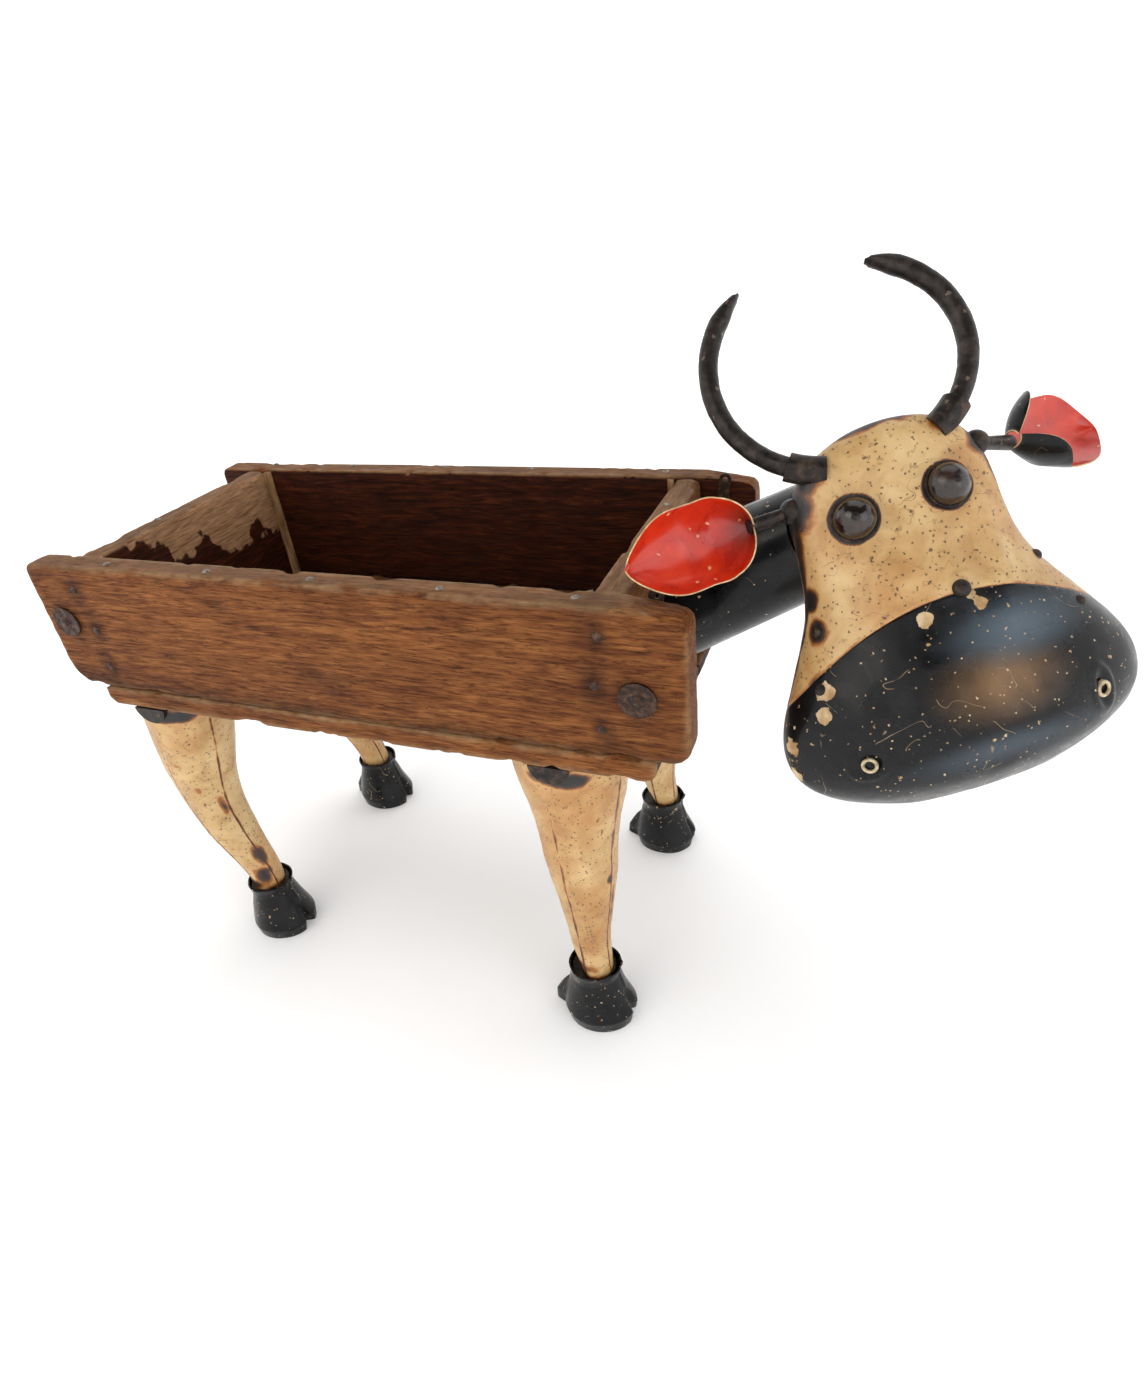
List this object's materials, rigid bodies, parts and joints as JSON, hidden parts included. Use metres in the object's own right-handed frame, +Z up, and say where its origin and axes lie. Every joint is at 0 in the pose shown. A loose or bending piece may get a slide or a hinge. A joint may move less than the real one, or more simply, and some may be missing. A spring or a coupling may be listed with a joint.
{
  "type": "cow trough planter",
  "caption": "Open wooden plank trough standing on sheet-metal cow legs, with a sheet-metal neck and a turned cow's head with horns and ears.",
  "frame": {"origin": "on the ground plane, at the middle of the whole object's box", "axes": "+X towards the head end along the trough, +Y to the cow's left, +Z up"},
  "size_m": [1.3156, 0.4684, 0.9456],
  "materials": {
    "plank_wood": "old oiled hardwood, worn edges",
    "floor_wood": "old dark softwood board",
    "batten_wood": "pale raw softwood strip",
    "rusty_steel": "rusted brown steel",
    "tack_steel": "dull pale steel",
    "cream_paint": "aged cream paint, pitted and scorched at the welds",
    "black_paint": "glossy black paint, chipped",
    "burnt_steel": "dark lacquered steel with weld scale",
    "ear_paint": "red enamel inside, black outside",
    "eye_paint": "dark brown gloss lacquer",
    "bare_wire": "bare chipped wire"
  },
  "bodies": {
    "root": {"ankle_ring_front_left": "burnt_steel", "ankle_ring_front_right": "burnt_steel", "ankle_ring_rear_left": "burnt_steel", "ankle_ring_rear_right": "burnt_steel", "corner_battens": "batten_wood", "ear_knob_left": "burnt_steel", "ear_knob_right": "burnt_steel", "ear_left": "ear_paint", "ear_right": "ear_paint", "ear_stalk_left": "burnt_steel", "ear_stalk_right": "burnt_steel", "edge_tacks": "tack_steel", "end_board_front": "plank_wood", "end_board_rear": "plank_wood", "eye_left": "eye_paint", "eye_right": "eye_paint", "eye_rings": "burnt_steel", "eye_studs": "eye_paint", "face_boss": "burnt_steel", "face_shell": "cream_paint", "floor_board_left": "floor_wood", "floor_board_right": "floor_wood", "head_back_shell": "cream_paint", "hoof_front_left": "black_paint", "hoof_front_right": "black_paint", "hoof_rear_left": "black_paint", "hoof_rear_right": "black_paint", "horn_collar_left": "burnt_steel", "horn_collar_right": "burnt_steel", "horn_left": "burnt_steel", "horn_right": "burnt_steel", "jaw_back_shell": "black_paint", "leg_front_left": "cream_paint", "leg_front_right": "cream_paint", "leg_plate_front_left": "rusty_steel", "leg_plate_front_right": "rusty_steel", "leg_plate_rear_left": "rusty_steel", "leg_plate_rear_right": "rusty_steel", "leg_plate_screws": "rusty_steel", "leg_rear_left": "cream_paint", "leg_rear_right": "cream_paint", "leg_tab_front_left": "burnt_steel", "leg_tab_front_right": "burnt_steel", "leg_tab_rear_left": "burnt_steel", "leg_tab_rear_right": "burnt_steel", "muzzle_shell": "black_paint", "neck_cone": "black_paint", "neck_elbow": "black_paint", "neck_root_plate": "rusty_steel", "neck_root_screws": "rusty_steel", "neck_strap_left": "rusty_steel", "neck_strap_right": "rusty_steel", "nostril_loops": "bare_wire", "plank_nails": "rusty_steel", "rod_washers": "rusty_steel", "seam_bolts": "burnt_steel", "side_plank_left": "plank_wood", "side_plank_right": "plank_wood", "tie_rod_front": "rusty_steel", "tie_rod_rear": "rusty_steel"}
  },
  "joints": []
}
